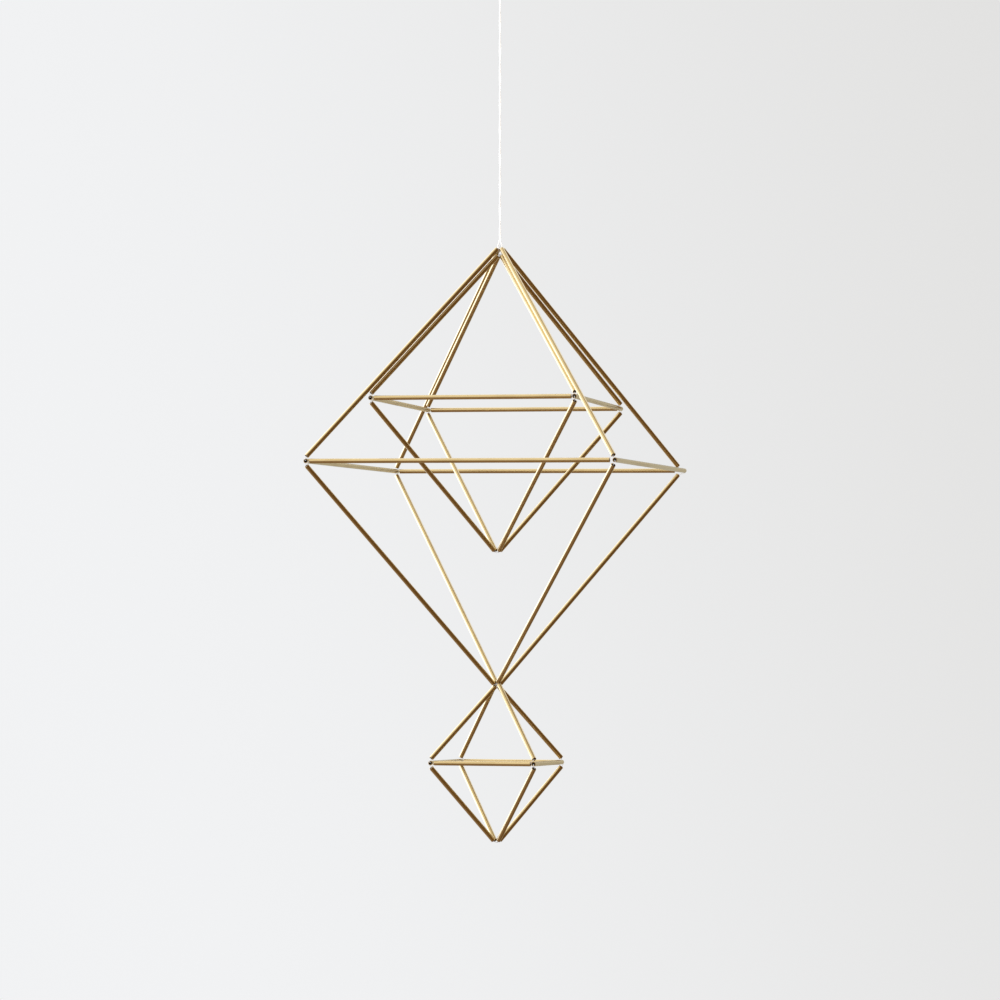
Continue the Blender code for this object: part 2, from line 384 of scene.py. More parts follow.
def carried_frames(path: Array, closed: bool) -> Frames:
    """Directions square to a path that turn with it as little as they can.

    The first direction is carried from ring to ring and made square to the path again each time.
    On a closed path the turn left over at the end is shared out along the length.

    Args:
        path: The centres of the rings.
        closed: Whether the last joins the first.

    Returns:
        For each centre, two square directions and the distance along the path.
    """
    steps = np.roll(path, -1, axis=0) - path
    if not closed:
        steps[-1] = path[-1] - path[-2]
    lengths = np.linalg.norm(steps, axis=1)
    forward = unit(steps)
    back = np.roll(forward, 1, axis=0)
    if not closed:
        back[0] = forward[0]
    along = unit(forward + back)
    side = np.zeros_like(path)
    spare = np.eye(3)[np.argmin(np.abs(along[0]))]
    side[0] = unit(np.cross(along[0], spare))
    for i in range(1, len(path)):
        carried = side[i - 1] - along[i] * np.dot(side[i - 1], along[i])
        side[i] = carried / np.linalg.norm(carried)
    distance = np.concatenate([[0], np.cumsum(lengths[:-1])])
    up = np.cross(along, side)
    if closed:
        home = side[-1] - along[0] * np.dot(side[-1], along[0])
        left = math.atan2(float(np.dot(home, up[0])), float(np.dot(home, side[0])))
        angle = (-left * distance / lengths.sum())[:, None]
        side, up = np.cos(angle) * side + np.sin(angle) * up, np.cos(angle) * up - np.sin(angle) * side
    return side, up, distance


@dataclass(frozen=True)
class Twist:
    """Plies laid round each other along a path.

    Attributes:
        plies: How many plies there are.
        offset: Distance of each ply's middle from the path.
        radius: Half a ply's thickness.
        pitch: Length of one full turn of the plies.
        sides: Points round each ply.
        phase: Turn of the plies at the path's start, in radians.
        ply_pitch: Length of one turn of the fibres round their ply, against the plies' turn.
        grain_shift: How far the grain of one ply is from the next one's.
    """

    plies: int
    offset: float
    radius: float
    pitch: float
    sides: int = 10
    phase: float = 0.0
    ply_pitch: float = 0.0022
    grain_shift: float = 0.7

    def along(self, path: Array, closed: bool, frames: Optional[Frames] = None) -> Surface:
        """Lay the plies along a path.

        A ply's middle is the path's point plus the offset at the angle of distance over pitch, in
        turns. A point of its skin is that middle plus the radius at the ring's own angle.

        Args:
            path: The centre line.
            closed: Whether it ends where it starts.
            frames: Square directions and distances, where the path has its own.

        Returns:
            One skin for all plies, with the mark `fibre` for the spun grain.
        """
        side, up, distance = frames or carried_frames(path, closed)
        total = distance[-1] + (np.linalg.norm(path[0] - path[-1]) if closed else 0)
        turns = max(1, round(total / self.pitch)) if closed else total / self.pitch
        around = np.linspace(0, 2 * math.pi, self.sides, endpoint=False)
        ring = side[:, None] * np.cos(around)[None, :, None] + up[:, None] * np.sin(around)[None, :, None]
        parts = []
        for ply in range(self.plies):
            angle = self.phase + 2 * math.pi * (distance / total * turns + ply / self.plies)
            offset = self.offset * (side * np.cos(angle)[:, None] + up * np.sin(angle)[:, None])
            points = (path + offset)[:, None] + self.radius * ring
            spun = around[None, :] + 2 * math.pi * distance[:, None] / self.ply_pitch
            length = np.broadcast_to(distance[:, None] + self.grain_shift * ply, spun.shape)
            grain = np.stack([self.radius * np.cos(spun), self.radius * np.sin(spun), length], axis=-1)
            parts.append(Surface.grid(points, {"fibre": grain}, close_rows=closed, capped=not closed))
        return Surface.joined(parts)


THREAD_LAY = Twist(plies=2, offset=0.000062, radius=0.000072, pitch=0.0013, sides=8, ply_pitch=0.0007)


# Finishes


class Nodes:
    """A short way to place and join shader nodes in one tree."""

    def __init__(self, tree: Tree) -> None:
        """Start with an existing tree."""
        self.tree = tree

    def add(self, kind: str, values: Optional[dict] = None, **settings: object) -> Node:
        """Place a node.

        Args:
            kind: The node's type.
            values: Inputs by name or number: a value, or a socket to join.
            settings: Properties of the node itself.

        Returns:
            The node.
        """
        node = self.tree.nodes.new(kind)
        for name, value in settings.items():
            setattr(node, name, value)
        for name, value in (values or {}).items():
            if isinstance(value, Socket):
                self.tree.links.new(value, node.inputs[name])
            else:
                node.inputs[name].default_value = value
        return node

    def link(self, value: Socket, node: Node, name: str) -> None:
        """Join a value to an input of a node."""
        self.tree.links.new(value, node.inputs[name])

    def mark(self, name: str, output: str = "Fac") -> Socket:
        """A mark that the surface carries, as a number or a vector."""
        return self.add("ShaderNodeAttribute", attribute_name=name).outputs[output]

    def math(self, operation: str, first: object, second: object) -> Socket:
        """One sum of two numbers or sockets."""
        return self.add("ShaderNodeMath", {0: first, 1: second}, operation=operation).outputs[0]

    def toward(self, way: Socket, aim: Sequence[float]) -> Socket:
        """How far a direction points along an aim."""
        both = {0: way, 1: tuple(aim)}
        return self.add("ShaderNodeVectorMath", both, operation="DOT_PRODUCT").outputs["Value"]

    def spread(self, value: Socket, limits: Limits) -> Socket:
        """A value eased from 0 at the first limit to 1 at the second."""
        ends = {"Value": value, "From Min": limits[0], "From Max": limits[1]}
        return self.add("ShaderNodeMapRange", ends, interpolation_type="SMOOTHSTEP").outputs["Result"]

    def mix(self, share: Socket, first: object, second: object) -> Socket:
        """One colour over another by a share.

        Args:
            share: 0 for the first colour alone, 1 for the second.
            first: A colour or a socket.
            second: A colour or a socket.

        Returns:
            The mixed colour.
        """
        node = self.add("ShaderNodeMix", data_type="RGBA")
        sockets = {"Factor_Float": share, "A_Color": first, "B_Color": second}
        for socket in node.inputs:
            value = sockets.get(socket.identifier)
            if isinstance(value, Socket):
                self.tree.links.new(value, socket)
            elif value is not None:
                socket.default_value = (*value, 1.0)
        return next(s for s in node.outputs if s.identifier == "Result_Color")


def node_group(
    name: str, inputs: Dict[str, Tuple[str, object]], outputs: Sequence[str]
) -> Tuple[Nodes, Node, Node]:
    """Start a shader node group.

    Args:
        name: The group's name.
        inputs: Each input's kind and starting value.
        outputs: The names of its outputs, which are numbers.

    Returns:
        The nodes, the group's input node and its output node.
    """
    tree = bpy.data.node_groups.new(name, "ShaderNodeTree")
    for label, (kind, value) in inputs.items():
        socket = tree.interface.new_socket(label, in_out="INPUT", socket_type="NodeSocket" + kind)
        if value is not None:
            socket.default_value = value
    for label in outputs:
        tree.interface.new_socket(label, in_out="OUTPUT", socket_type="NodeSocketFloat")
    nodes = Nodes(tree)
    return nodes, nodes.add("NodeGroupInput"), nodes.add("NodeGroupOutput")


@dataclass(frozen=True)
class Grain:
    """Fine lines, from noise that is drawn out along the length of a mark.

    The mark's place is multiplied by the number of lines in a metre, and its third number by the
    stretch as well, which makes the noise long and thin.

    Attributes:
        name: The node group's name.
        lines: Number of lines in a metre that the group starts with.
        stretch: Share of them that is left along the length.
        detail: Finer layers of the noise.
        roughness: How strong those layers are.
        limits: Noise values at which the shade is none and full.
    """

    name: str
    lines: float
    stretch: float
    detail: float
    roughness: float
    limits: Limits

    def group(self) -> Tree:
        """Build the node group.

        Returns:
            A group with the shade of the lines and their height.
        """
        nodes, given, out = node_group(
            self.name,
            {"Vector": ("Vector", None), "Lines": ("Float", self.lines), "Stretch": ("Float", self.stretch)},
            ("Shade", "Height"),
        )
        place = {0: given.outputs["Vector"], "Scale": given.outputs["Lines"]}
        fine = nodes.add("ShaderNodeVectorMath", place, operation="SCALE")
        parts = nodes.add("ShaderNodeSeparateXYZ", {0: fine.outputs[0]}).outputs
        length = nodes.math("MULTIPLY", parts["Z"], given.outputs["Stretch"])
        drawn = nodes.add("ShaderNodeCombineXYZ", {"X": parts["X"], "Y": parts["Y"], "Z": length})
        kind = {"Vector": drawn.outputs[0], "Scale": 1.0, "Detail": self.detail, "Roughness": self.roughness}
        noise = nodes.add("ShaderNodeTexNoise", kind).outputs["Fac"]
        nodes.link(nodes.spread(noise, self.limits), out, "Shade")
        nodes.link(noise, out, "Height")
        return nodes.tree


@dataclass(frozen=True)
class Patches:
    """Soft cloudy patches where a surface has dulled or been handled.

    Attributes:
        name: The node group's name.
        patches: Number of patches in a metre that the group starts with.
        threshold: Noise value at which a patch begins.
        limits: How far from the threshold the mask is none and full.
    """

    name: str = "handled_patches"
    patches: float = 60.0
    threshold: float = 0.5
    limits: Limits = (-0.08, 0.16)

    def group(self) -> Tree:
        """Build the node group.

        Returns:
            A group with the mask of the patches.
        """
        nodes, given, out = node_group(
            self.name,
            {
                "Vector": ("Vector", None),
                "Patches": ("Float", self.patches),
                "Threshold": ("Float", self.threshold),
            },
            ("Mask",),
        )
        clouds = {"Vector": given.outputs["Vector"], "Scale": given.outputs["Patches"], "Detail": 2.0}
        noise = nodes.add("ShaderNodeTexNoise", clouds).outputs["Fac"]
        above = nodes.math("SUBTRACT", noise, given.outputs["Threshold"])
        nodes.link(nodes.spread(above, self.limits), out, "Mask")
        return nodes.tree


@dataclass(frozen=True)
class Effects:
    """The node groups that the finishes share, each built once."""

    streaks: Tree = field(default_factory=Grain("drawn_streaks", 9000.0, 0.004, 3.0, 0.6, (0.3, 0.7)).group)
    patches: Tree = field(default_factory=Patches().group)
    fibres: Tree = field(default_factory=Grain("spun_fibres", 22000.0, 0.05, 2.0, 0.5, (0.3, 0.65)).group)


def new_material(name: str) -> Tuple[Material, Nodes, Node]:
    """Start a material.

    Args:
        name: Its name.

    Returns:
        The material, its nodes and its shader.
    """
    made = bpy.data.materials.new(name)
    made.use_nodes = True
    return made, Nodes(made.node_tree), made.node_tree.nodes["Principled BSDF"]


@dataclass(frozen=True)
class BrassFinish:
    """Satin drawn brass with lengthwise lines, dull patches, rough cut ends, and bores darkened by oxide and
    painted shade.

    Attributes:
        name: The material's name.
        clean: Colour of bare brass.
        deep: Colour in the drawn lines.
        dull: Colour of the patches.
        cut: Colour of the cut ends.
        oxide_and_bore_shade: Colour inside the bores, part oxide and part painted shade.
        roughness: Roughness of bare brass.
        lines: Drawn lines in a metre.
        patches: Patches in a metre.
        groove: Depth of the drawn lines.
        line_shade: Share of the deep colour in the lines.
        patch_shade: Share of the dull colour in the patches.
        line_rough: Roughness that the lines add.
        patch_rough: Roughness that the patches add.
        cut_rough: Roughness that the cut ends and bores add.
    """

    name: str
    clean: Colour = (0.82, 0.67, 0.38)
    deep: Colour = (0.74, 0.57, 0.28)
    dull: Colour = (0.62, 0.47, 0.24)
    cut: Colour = (0.62, 0.46, 0.25)
    oxide_and_bore_shade: Colour = (0.020, 0.006, 0.004)
    roughness: float = 0.13
    lines: float = 9000.0
    patches: float = 55.0
    groove: float = 0.0000012
    line_shade: float = 0.30
    patch_shade: float = 0.22
    line_rough: float = 0.05
    patch_rough: float = 0.08
    cut_rough: float = 0.22

    def material(self, effects: Effects) -> Material:
        """Make the material.

        Args:
            effects: The shared node groups.

        Returns:
            A material that reads the marks `drawn`, `cut_face` and `bore`.
        """
        made, nodes, shader = new_material(self.name)
        cut, bore = nodes.mark("cut_face"), nodes.mark("bore")
        lines = {"Lines": self.lines, "Vector": nodes.mark("drawn", "Vector")}
        drawn = nodes.add("ShaderNodeGroup", lines, node_tree=effects.streaks).outputs
        clouds = {"Patches": self.patches, "Vector": nodes.add("ShaderNodeTexCoord").outputs["Object"]}
        mask = nodes.add("ShaderNodeGroup", clouds, node_tree=effects.patches).outputs["Mask"]
        colour = nodes.mix(nodes.math("MULTIPLY", drawn["Shade"], self.line_shade), self.clean, self.deep)
        colour = nodes.mix(nodes.math("MULTIPLY", mask, self.patch_shade), colour, self.dull)
        colour = nodes.mix(cut, colour, self.cut)
        # Oxide and painted shade inside the bores, full from a short depth in.
        colour = nodes.mix(bore, colour, self.oxide_and_bore_shade)
        rough = nodes.math("ADD", nodes.math("MULTIPLY", drawn["Shade"], self.line_rough), self.roughness)
        for share, more in ((mask, self.patch_rough), (nodes.math("MAXIMUM", cut, bore), self.cut_rough)):
            rough = nodes.math("ADD", rough, nodes.math("MULTIPLY", share, more))
        grooves = {"Height": drawn["Height"], "Strength": 1.0, "Distance": self.groove}
        bump = nodes.add("ShaderNodeBump", grooves)
        nodes.link(colour, shader, "Base Color")
        nodes.link(rough, shader, "Roughness")
        nodes.link(bump.outputs["Normal"], shader, "Normal")
        shader.inputs["Metallic"].default_value = 1.0
        return made


@dataclass(frozen=True)
class SpunFinish:
    """White spun cotton, lighter on the crowns of its fibres, with painted shade in the hollows between them
    and on thread inside the bores.

    Attributes:
        name: The material's name.
        crown: Colour on the fibres.
        hollow: Colour between them, a painted shade in the hollows.
        shaded: Colour of thread that is inside a tube, a painted shade.
        roughness: Roughness all over.
        sheen: Weight of the sheen.
        fibres: Fibres in a metre.
        relief: How far they stand out.
    """

    name: str
    crown: Colour = (0.92, 0.915, 0.90)
    hollow: Colour = (0.81, 0.80, 0.78)
    shaded: Colour = (0.035, 0.014, 0.008)
    roughness: float = 0.88
    sheen: float = 0.25
    fibres: float = 12000.0
    relief: float = 0.000007

    def material(self, effects: Effects) -> Material:
        """Make the material.

        Args:
            effects: The shared node groups.

        Returns:
            A material that reads the marks `fibre` and `hidden`.
        """
        made, nodes, shader = new_material(self.name)
        lines = {"Lines": self.fibres, "Vector": nodes.mark("fibre", "Vector")}
        spun = nodes.add("ShaderNodeGroup", lines, node_tree=effects.fibres).outputs
        # Painted shade in the hollows: darker where the fibre noise, and so the bump, is low.
        colour = nodes.mix(spun["Shade"], self.hollow, self.crown)
        # Painted shade on thread inside a tube, deeper the further in it runs.
        colour = nodes.mix(nodes.mark("hidden"), colour, self.shaded)
        hairs = {"Height": spun["Height"], "Strength": 1.0, "Distance": self.relief}
        bump = nodes.add("ShaderNodeBump", hairs)
        nodes.link(colour, shader, "Base Color")
        nodes.link(bump.outputs["Normal"], shader, "Normal")
        shader.inputs["Roughness"].default_value = self.roughness
        shader.inputs["Sheen Weight"].default_value = self.sheen
        return made


STRING_COTTON = SpunFinish("string_cotton")
# The same white cotton as the string, greyer all over as painted shade for thread among the tubes.
SEWING_THREAD = SpunFinish(
    "sewing_thread",
    crown=(0.74, 0.725, 0.70),
    hollow=(0.58, 0.56, 0.53),
    fibres=20000.0,
    relief=0.000006,
    roughness=0.78,
)


# Brass tubes


@dataclass(frozen=True)
class CutTube:
    """A hollow tube with square-cut ends and slightly eased rims.

    Attributes:
        sides: Points round the tube.
        stations: Rings along the outside.
        rim_points: Points over each rim.
        outer_ease: Radius of the outer rim.
        inner_ease: Radius of the bore's rim.
        dark_by: Depth in the bore at which its painted shade is full.
        grain_shift: How far the grain of one tube is from the next one's.
    """

    stock: Stock
    sides: int = 44
    stations: int = 10
    rim_points: int = 5
    outer_ease: float = 0.00007
    inner_ease: float = 0.00005
    dark_by: float = 0.00022
    grain_shift: float = 0.31

    def half_profile(self) -> Tuple[Array, Array, Array, Array]:
        """The profile at one end, from the outside over the rims and into the bore.

        The rims are quarter circles. The outside and the bore are straight.

        Returns:
            Radii, distances from the end, how far each point is a part of the cut face, and
            whether it is in the bore.
        """
        radius, bore = self.stock.tube_radius, self.stock.tube_bore / 2
        bend = np.linspace(0, math.pi / 2, self.rim_points)
        outer = (radius - self.outer_ease * (1 - np.cos(bend)), self.outer_ease * (1 - np.sin(bend)))
        inner = (bore + self.inner_ease * (1 - np.sin(bend)), self.inner_ease * (1 - np.cos(bend)))
        outside = np.array([3.0, 0.9, 0.25]) * MM
        inside = np.array([0.15, 0.35, 0.7, 1.2, 3.0, 8.0]) * MM
        radii = np.concatenate([0 * outside + radius, outer[0], inner[0], 0 * inside + bore])
        depths = np.concatenate([outside, outer[1], inner[1], inside])
        face = np.concatenate([0 * outside, np.sin(bend), np.cos(bend), 0 * inside])
        within = np.concatenate([0 * outside, 0 * bend, 0 * bend + 1, 0 * inside + 1])
        return radii, depths, face, within

    def surface(self, start: Array, end: Array, number: int) -> Surface:
        """The tube between two points.

        A point is the axis at its distance plus its radius at its angle. The profile goes from the
        middle of the outside over one rim, through the bore, over the other rim and back.

        Args:
            start: Middle of one end.
            end: Middle of the other.
            number: Which tube it is, so that no two have the same grain.

        Returns:
            A closed skin with the marks `drawn`, `cut_face` and `bore`.
        """
        axis = end - start
        length = float(np.linalg.norm(axis))
        axis = axis / length
        radii, depths, face, within = self.half_profile()
        middle = np.linspace(0, 1, self.stations + 2)[1:-1] * (length - 2 * depths[0]) + depths[0]
        distances = np.concatenate([middle, length - depths, depths[::-1]])
        radii = np.concatenate([0 * middle + self.stock.tube_radius, radii, radii[::-1]])
        face, within = (np.concatenate([0 * middle, part, part[::-1]]) for part in (face, within))
        # The bore mark: painted shade that grows with depth into the bore.
        dark = np.clip(np.minimum(distances, length - distances) / self.dark_by, 0, 1)
        dark = within * (1 - (1 - dark) ** 2)
        spare = np.eye(3)[np.argmin(np.abs(axis))]
        side = unit(np.cross(axis, spare))
        up = np.cross(axis, side)
        around = np.linspace(0, 2 * math.pi, self.sides, endpoint=False)
        across, rise = np.cos(around)[None, :], np.sin(around)[None, :]
        ring = side * across[..., None] + up * rise[..., None]
        points = start + axis * distances[:, None, None] + ring * radii[:, None, None]
        place = distances[:, None] + self.grain_shift * number + 0 * across
        drawn = np.stack([radii[:, None] * across, radii[:, None] * rise, place], axis=-1)
        columns = np.ones((1, self.sides))
        marks = {"drawn": drawn, "cut_face": face[:, None] * columns, "bore": dark[:, None] * columns}
        return Surface.grid(points, marks, close_rows=True)


@dataclass
class Octahedron:
    """Twelve tubes butted into a square ring, with four sloping up and four sloping down.

    The front and back ring tubes butt between the left and right ones. The sloping tubes stand over
    and under the ring's corners and lean together at the top and bottom joints.

    Attributes:
        label: Its name, with which its pieces' names start.
        length: Length of each tube.
        apex: Middle of its top joint.
        turn: Turn about its axis, in degrees.
        lean: Lean about X and Y, in degrees.
        top_joint: Spread of the front left and back right tubes at the top, then of the others.
        bottom_joint: The same at the bottom.
        top_crown: How far the thread arcs rise over the top joint.
        bottom_crown: How far they dip under the bottom joint.
        right_shift: How far the right ring tube's ends stand off, front and back.
    """

    label: str
    length: float
    apex: Array
    turn: float
    lean: Tuple[float, float]
    top_joint: Tuple[Spread, Spread]
    bottom_joint: Tuple[Spread, Spread]
    top_crown: float
    bottom_crown: float
    right_shift: Tuple[float, float] = (0.0, 0.0)
    stock: Stock = field(default_factory=Stock)

    def __post_init__(self) -> None:
        """Work out the ring's half sizes and the turn of the whole."""
        radius = self.stock.tube_radius
        self.side_x = self.length / 2 + self.stock.butt_gap + radius
        self.front_y = self.length / 2 - radius
        self.reach = math.hypot(self.side_x, self.front_y)
        across = self.front_y / self.reach
        slant = across * self.reach / self.length
        even = (radius * math.sqrt(1 - slant**2) + self.stock.clearance / 2) / across
        self.spreads = {
            Spread.CLOSE: self.stock.close_spread,
            Spread.EVEN: even,
            Spread.WIDE: even + self.stock.wide_slack,
        }
        self.ring_z = -(self.stock.seat_rise + self.rise(self.spreads[self.top_joint[0]]))
        self.placing = turned("Y", self.lean[1]) @ turned("X", self.lean[0]) @ turned("Z", self.turn)

    def rise(self, spread: float) -> float:
        """How far a sloping tube climbs when its joint end is this far off the axis."""
        return math.sqrt(self.length**2 - (self.reach - spread) ** 2)

    def place(self, points: Array) -> Array:
        """Points of the hanging octahedron from ring coordinates."""
        return np.asarray(self.apex) + (np.asarray(points) + (0, 0, self.ring_z)) @ self.placing.T

    def spread(self, corner: str, level: Level) -> float:
        """How far off the axis a sloping tube's joint end is.

        Args:
            corner: The ring's corner that it stands at.
            level: Whether it goes up or down.

        Returns:
            The distance in metres.
        """
        joint = self.top_joint if level is Level.TOP else self.bottom_joint
        sign_x, sign_y = CORNERS[corner]
        return self.spreads[joint[0] if sign_x == sign_y else joint[1]]

    def shift(self, corner: str) -> float:
        """How far the side tube's end stands off at a corner."""
        return dict(front_right=self.right_shift[0], back_right=self.right_shift[1]).get(corner, 0.0)

    def sloping_ends(self, corner: str, level: Level) -> Tuple[Array, Array]:
        """Both ends of a sloping tube.

        Args:
            corner: The ring's corner that it stands at.
            level: Whether it goes up or down.

        Returns:
            The joint end and the corner end, in ring coordinates.
        """
        sign_x, sign_y = CORNERS[corner]
        spread, up = self.spread(corner, level), np.array([0, 0, level.value])
        out = np.array([sign_x * self.side_x, sign_y * self.front_y, 0]) / self.reach
        joint = out * spread + up * (self.stock.seat_rise + self.rise(spread))
        return joint, out * self.reach + up * self.stock.seat_rise

    def joint_z(self, level: Level) -> float:
        """Height of a joint, where the front left tube's end lies."""
        return level.value * (self.stock.seat_rise + self.rise(self.spread("front_left", level)))

    def bottom(self) -> Array:
        """Middle of the lowest joint."""
        return self.place((0, 0, self.joint_z(Level.BOTTOM)))

    def tube_ends(self) -> Dict[str, Tuple[Array, Array]]:
        """Both ends of each tube.

        Returns:
            The two ends by the name of the tube's node.
        """
        half, ends = self.length / 2, {}

        def side_end(corner: str) -> Tuple[float, float, float]:
            """Where a left or right ring tube ends."""
            sign_x, sign_y = CORNERS[corner]
            return sign_x * (self.side_x + self.shift(corner)), sign_y * half, 0.0

        ring = {
            "front": ((-half, -self.front_y, 0), (half, -self.front_y, 0)),
            "right": (side_end("front_right"), side_end("back_right")),
            "back": ((half, self.front_y, 0), (-half, self.front_y, 0)),
            "left": (side_end("back_left"), side_end("front_left")),
        }
        for side, (start, end) in ring.items():
            ends[f"{self.label}_ring_{side}"] = (self.place(start), self.place(end))
        for corner in CORNERS:
            for level, part in ((Level.TOP, "top"), (Level.BOTTOM, "bottom")):
                joint, seat = self.sloping_ends(corner, level)
                ends[f"{self.label}_{part}_{corner}"] = (self.place(joint), self.place(seat))
        return ends

    def corner_pass(self, corner: str, level: Level, ring: Ring) -> List[Array]:
        """The thread's way from a sloping tube into a ring tube.

        Args:
            corner: The ring's corner.
            level: Whether the sloping tube goes up or down.
            ring: Whether the thread goes into the side tube or the front or back one.

        Returns:
            Points in ring coordinates, from the sloping tube on.
        """
        sign_x, sign_y = CORNERS[corner]
        joint, seat = self.sloping_ends(corner, level)
        step, high = self.stock.thread, self.stock.seat_rise
        radius = self.stock.tube_radius
        end_y = self.front_y + radius
        side_x = self.side_x + self.shift(corner)
        gap_x = self.side_x - radius - self.stock.butt_gap / 2
        if ring is Ring.SIDE:
            ways = (
                (self.side_x + step, self.front_y + 2.4 * step, high - step),
                (side_x + step, end_y + 1.4 * step, high - 3 * step),
                (side_x + 0.3 * step, end_y + 1.5 * step, step),
                (side_x, end_y - step, 0),
                (side_x, end_y - 6 * step, 0),
            )
        else:
            ways = (
                (self.side_x, self.front_y + 2.4 * step, high - step),
                (self.side_x - 1.8 * step, end_y + 1.3 * step, high - 3 * step),
                (gap_x, end_y + 0.8 * step, 1.3 * step),
                (gap_x, self.front_y + 1.55 * step, 0.4 * step),
                (gap_x - 2.2 * step, self.front_y + 0.3 * step, 0),
                (gap_x - 8 * step, self.front_y, 0),
            )
        mirror = np.array([sign_x, sign_y, level.value])
        return [seat + unit(joint - seat) * self.stock.dive, seat, *(np.array(way) * mirror for way in ways)]

    def joint_pass(self, first: str, second: str, level: Level, crown: float) -> List[Array]:
        """The thread's way from one sloping tube into its neighbour at a joint.

        Args:
            first: The corner that the first tube comes from.
            second: The corner that the second goes to.
            level: The top or the bottom joint.
            crown: How far the thread stands off the tubes' ends.

        Returns:
            Points in ring coordinates.
        """
        offset, half = self.stock.arc_offset, self.stock.arc_half_length
        top_z = self.joint_z(level) + level.value * crown
        aside = (offset, half) if level is Level.TOP else (half, offset)
        route = []
        for corner in (first, second):
            joint, seat = self.sloping_ends(corner, level)
            sign_x, sign_y = CORNERS[corner]
            inside = joint + unit(seat - joint) * self.stock.dive
            beside = np.array([sign_x * aside[0], sign_y * aside[1], top_z - 0.4 * level.value * offset])
            route.append([inside, joint, beside])
        middle = (route[0][2] + route[1][2]) / 2
        middle[2] = top_z
        way = np.array([*route[0], middle, *reversed(route[1])])
        return list(smooth_through(way, samples=2, closed=False))

    def thread_route(self) -> Array:
        """The closed way of the thread, once through each tube.

        Returns:
            Points in the row frame, in order.
        """
        top, bottom = Level.TOP, Level.BOTTOM
        way = self.corner_pass("front_left", top, Ring.SIDE)
        way += self.corner_pass("back_left", bottom, Ring.SIDE)[::-1]
        way += self.joint_pass("back_left", "back_right", bottom, self.bottom_crown)
        way += self.corner_pass("back_right", bottom, Ring.SIDE)
        way += self.corner_pass("front_right", bottom, Ring.SIDE)[::-1]
        way += self.joint_pass("front_right", "front_left", bottom, self.bottom_crown)
        way += self.corner_pass("front_left", bottom, Ring.FRONT)
        way += self.corner_pass("front_right", top, Ring.FRONT)[::-1]
        way += self.joint_pass("front_right", "back_right", top, self.top_crown)
        way += self.corner_pass("back_right", top, Ring.FRONT)
        way += self.corner_pass("back_left", top, Ring.FRONT)[::-1]
        way += self.joint_pass("back_left", "front_left", top, self.top_crown)
        return self.place(np.array(way))

    def hidden(self, points: Array, fades_over: float = 0.00035) -> Array:
        """How far each point is hidden in a tube: its depth from the nearer end over a short way, which sets
        how much painted shade the thread gets there.

        Args:
            points: One row for each point.
            fades_over: Depth at which a point is fully hidden.

        Returns:
            A number from 0 to 1 for each point.
        """
        share = np.zeros(len(points))
        for start, end in self.tube_ends().values():
            length = float(np.linalg.norm(end - start))
            axis = (end - start) / length
            along = (points - start) @ axis
            off = np.linalg.norm(points - start - along[:, None] * axis, axis=1)
            depth = np.minimum(along, length - along)
            within = (off < self.stock.tube_bore / 2 + self.stock.clearance) & (depth > 0)
            share = np.maximum(share, np.where(within, np.clip(depth / fades_over, 0, 1), 0))
        return share

    def build(self, brass: Material, thread: Material, start: int) -> None:
        """Make the twelve tubes and the thread.

        Args:
            brass: The tubes' finish.
            thread: The thread's finish.
            start: Number of the first tube.
        """
        tube = CutTube(self.stock)
        for i, (name, (first, last)) in enumerate(self.tube_ends().items()):
            piece = tube.surface(first, last, start + i).make(name + "_brass", brass)
            settle(piece, name)
        skin = THREAD_LAY.along(rounded(self.thread_route()), closed=True)
        # The thread gets painted shade where it runs inside a tube.
        skin.marks["hidden"] = self.hidden(skin.points)
        settle(skin.make(self.label + "_sewn_thread", thread), self.label + "_thread")


def settle(piece: Piece, node: str) -> None:
    """Give a piece its body, hide the CAD node that it stands for, and report how far it is from that node's
    box.

    Args:
        piece: The finished piece.
        node: The CAD node that it stands for.
    """
    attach(piece, BODY)
    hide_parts(node)
    low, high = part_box(node)
    points = np.array([corner[:] for corner in piece.bound_box])
    off = max(np.abs(points.min(0) - low).max(), np.abs(points.max(0) - high).max())
    log.info("%s: %d faces, %.2f mm from its node's box", piece.name, len(piece.data.polygons), off / MM)


# String, knot, loop and eye


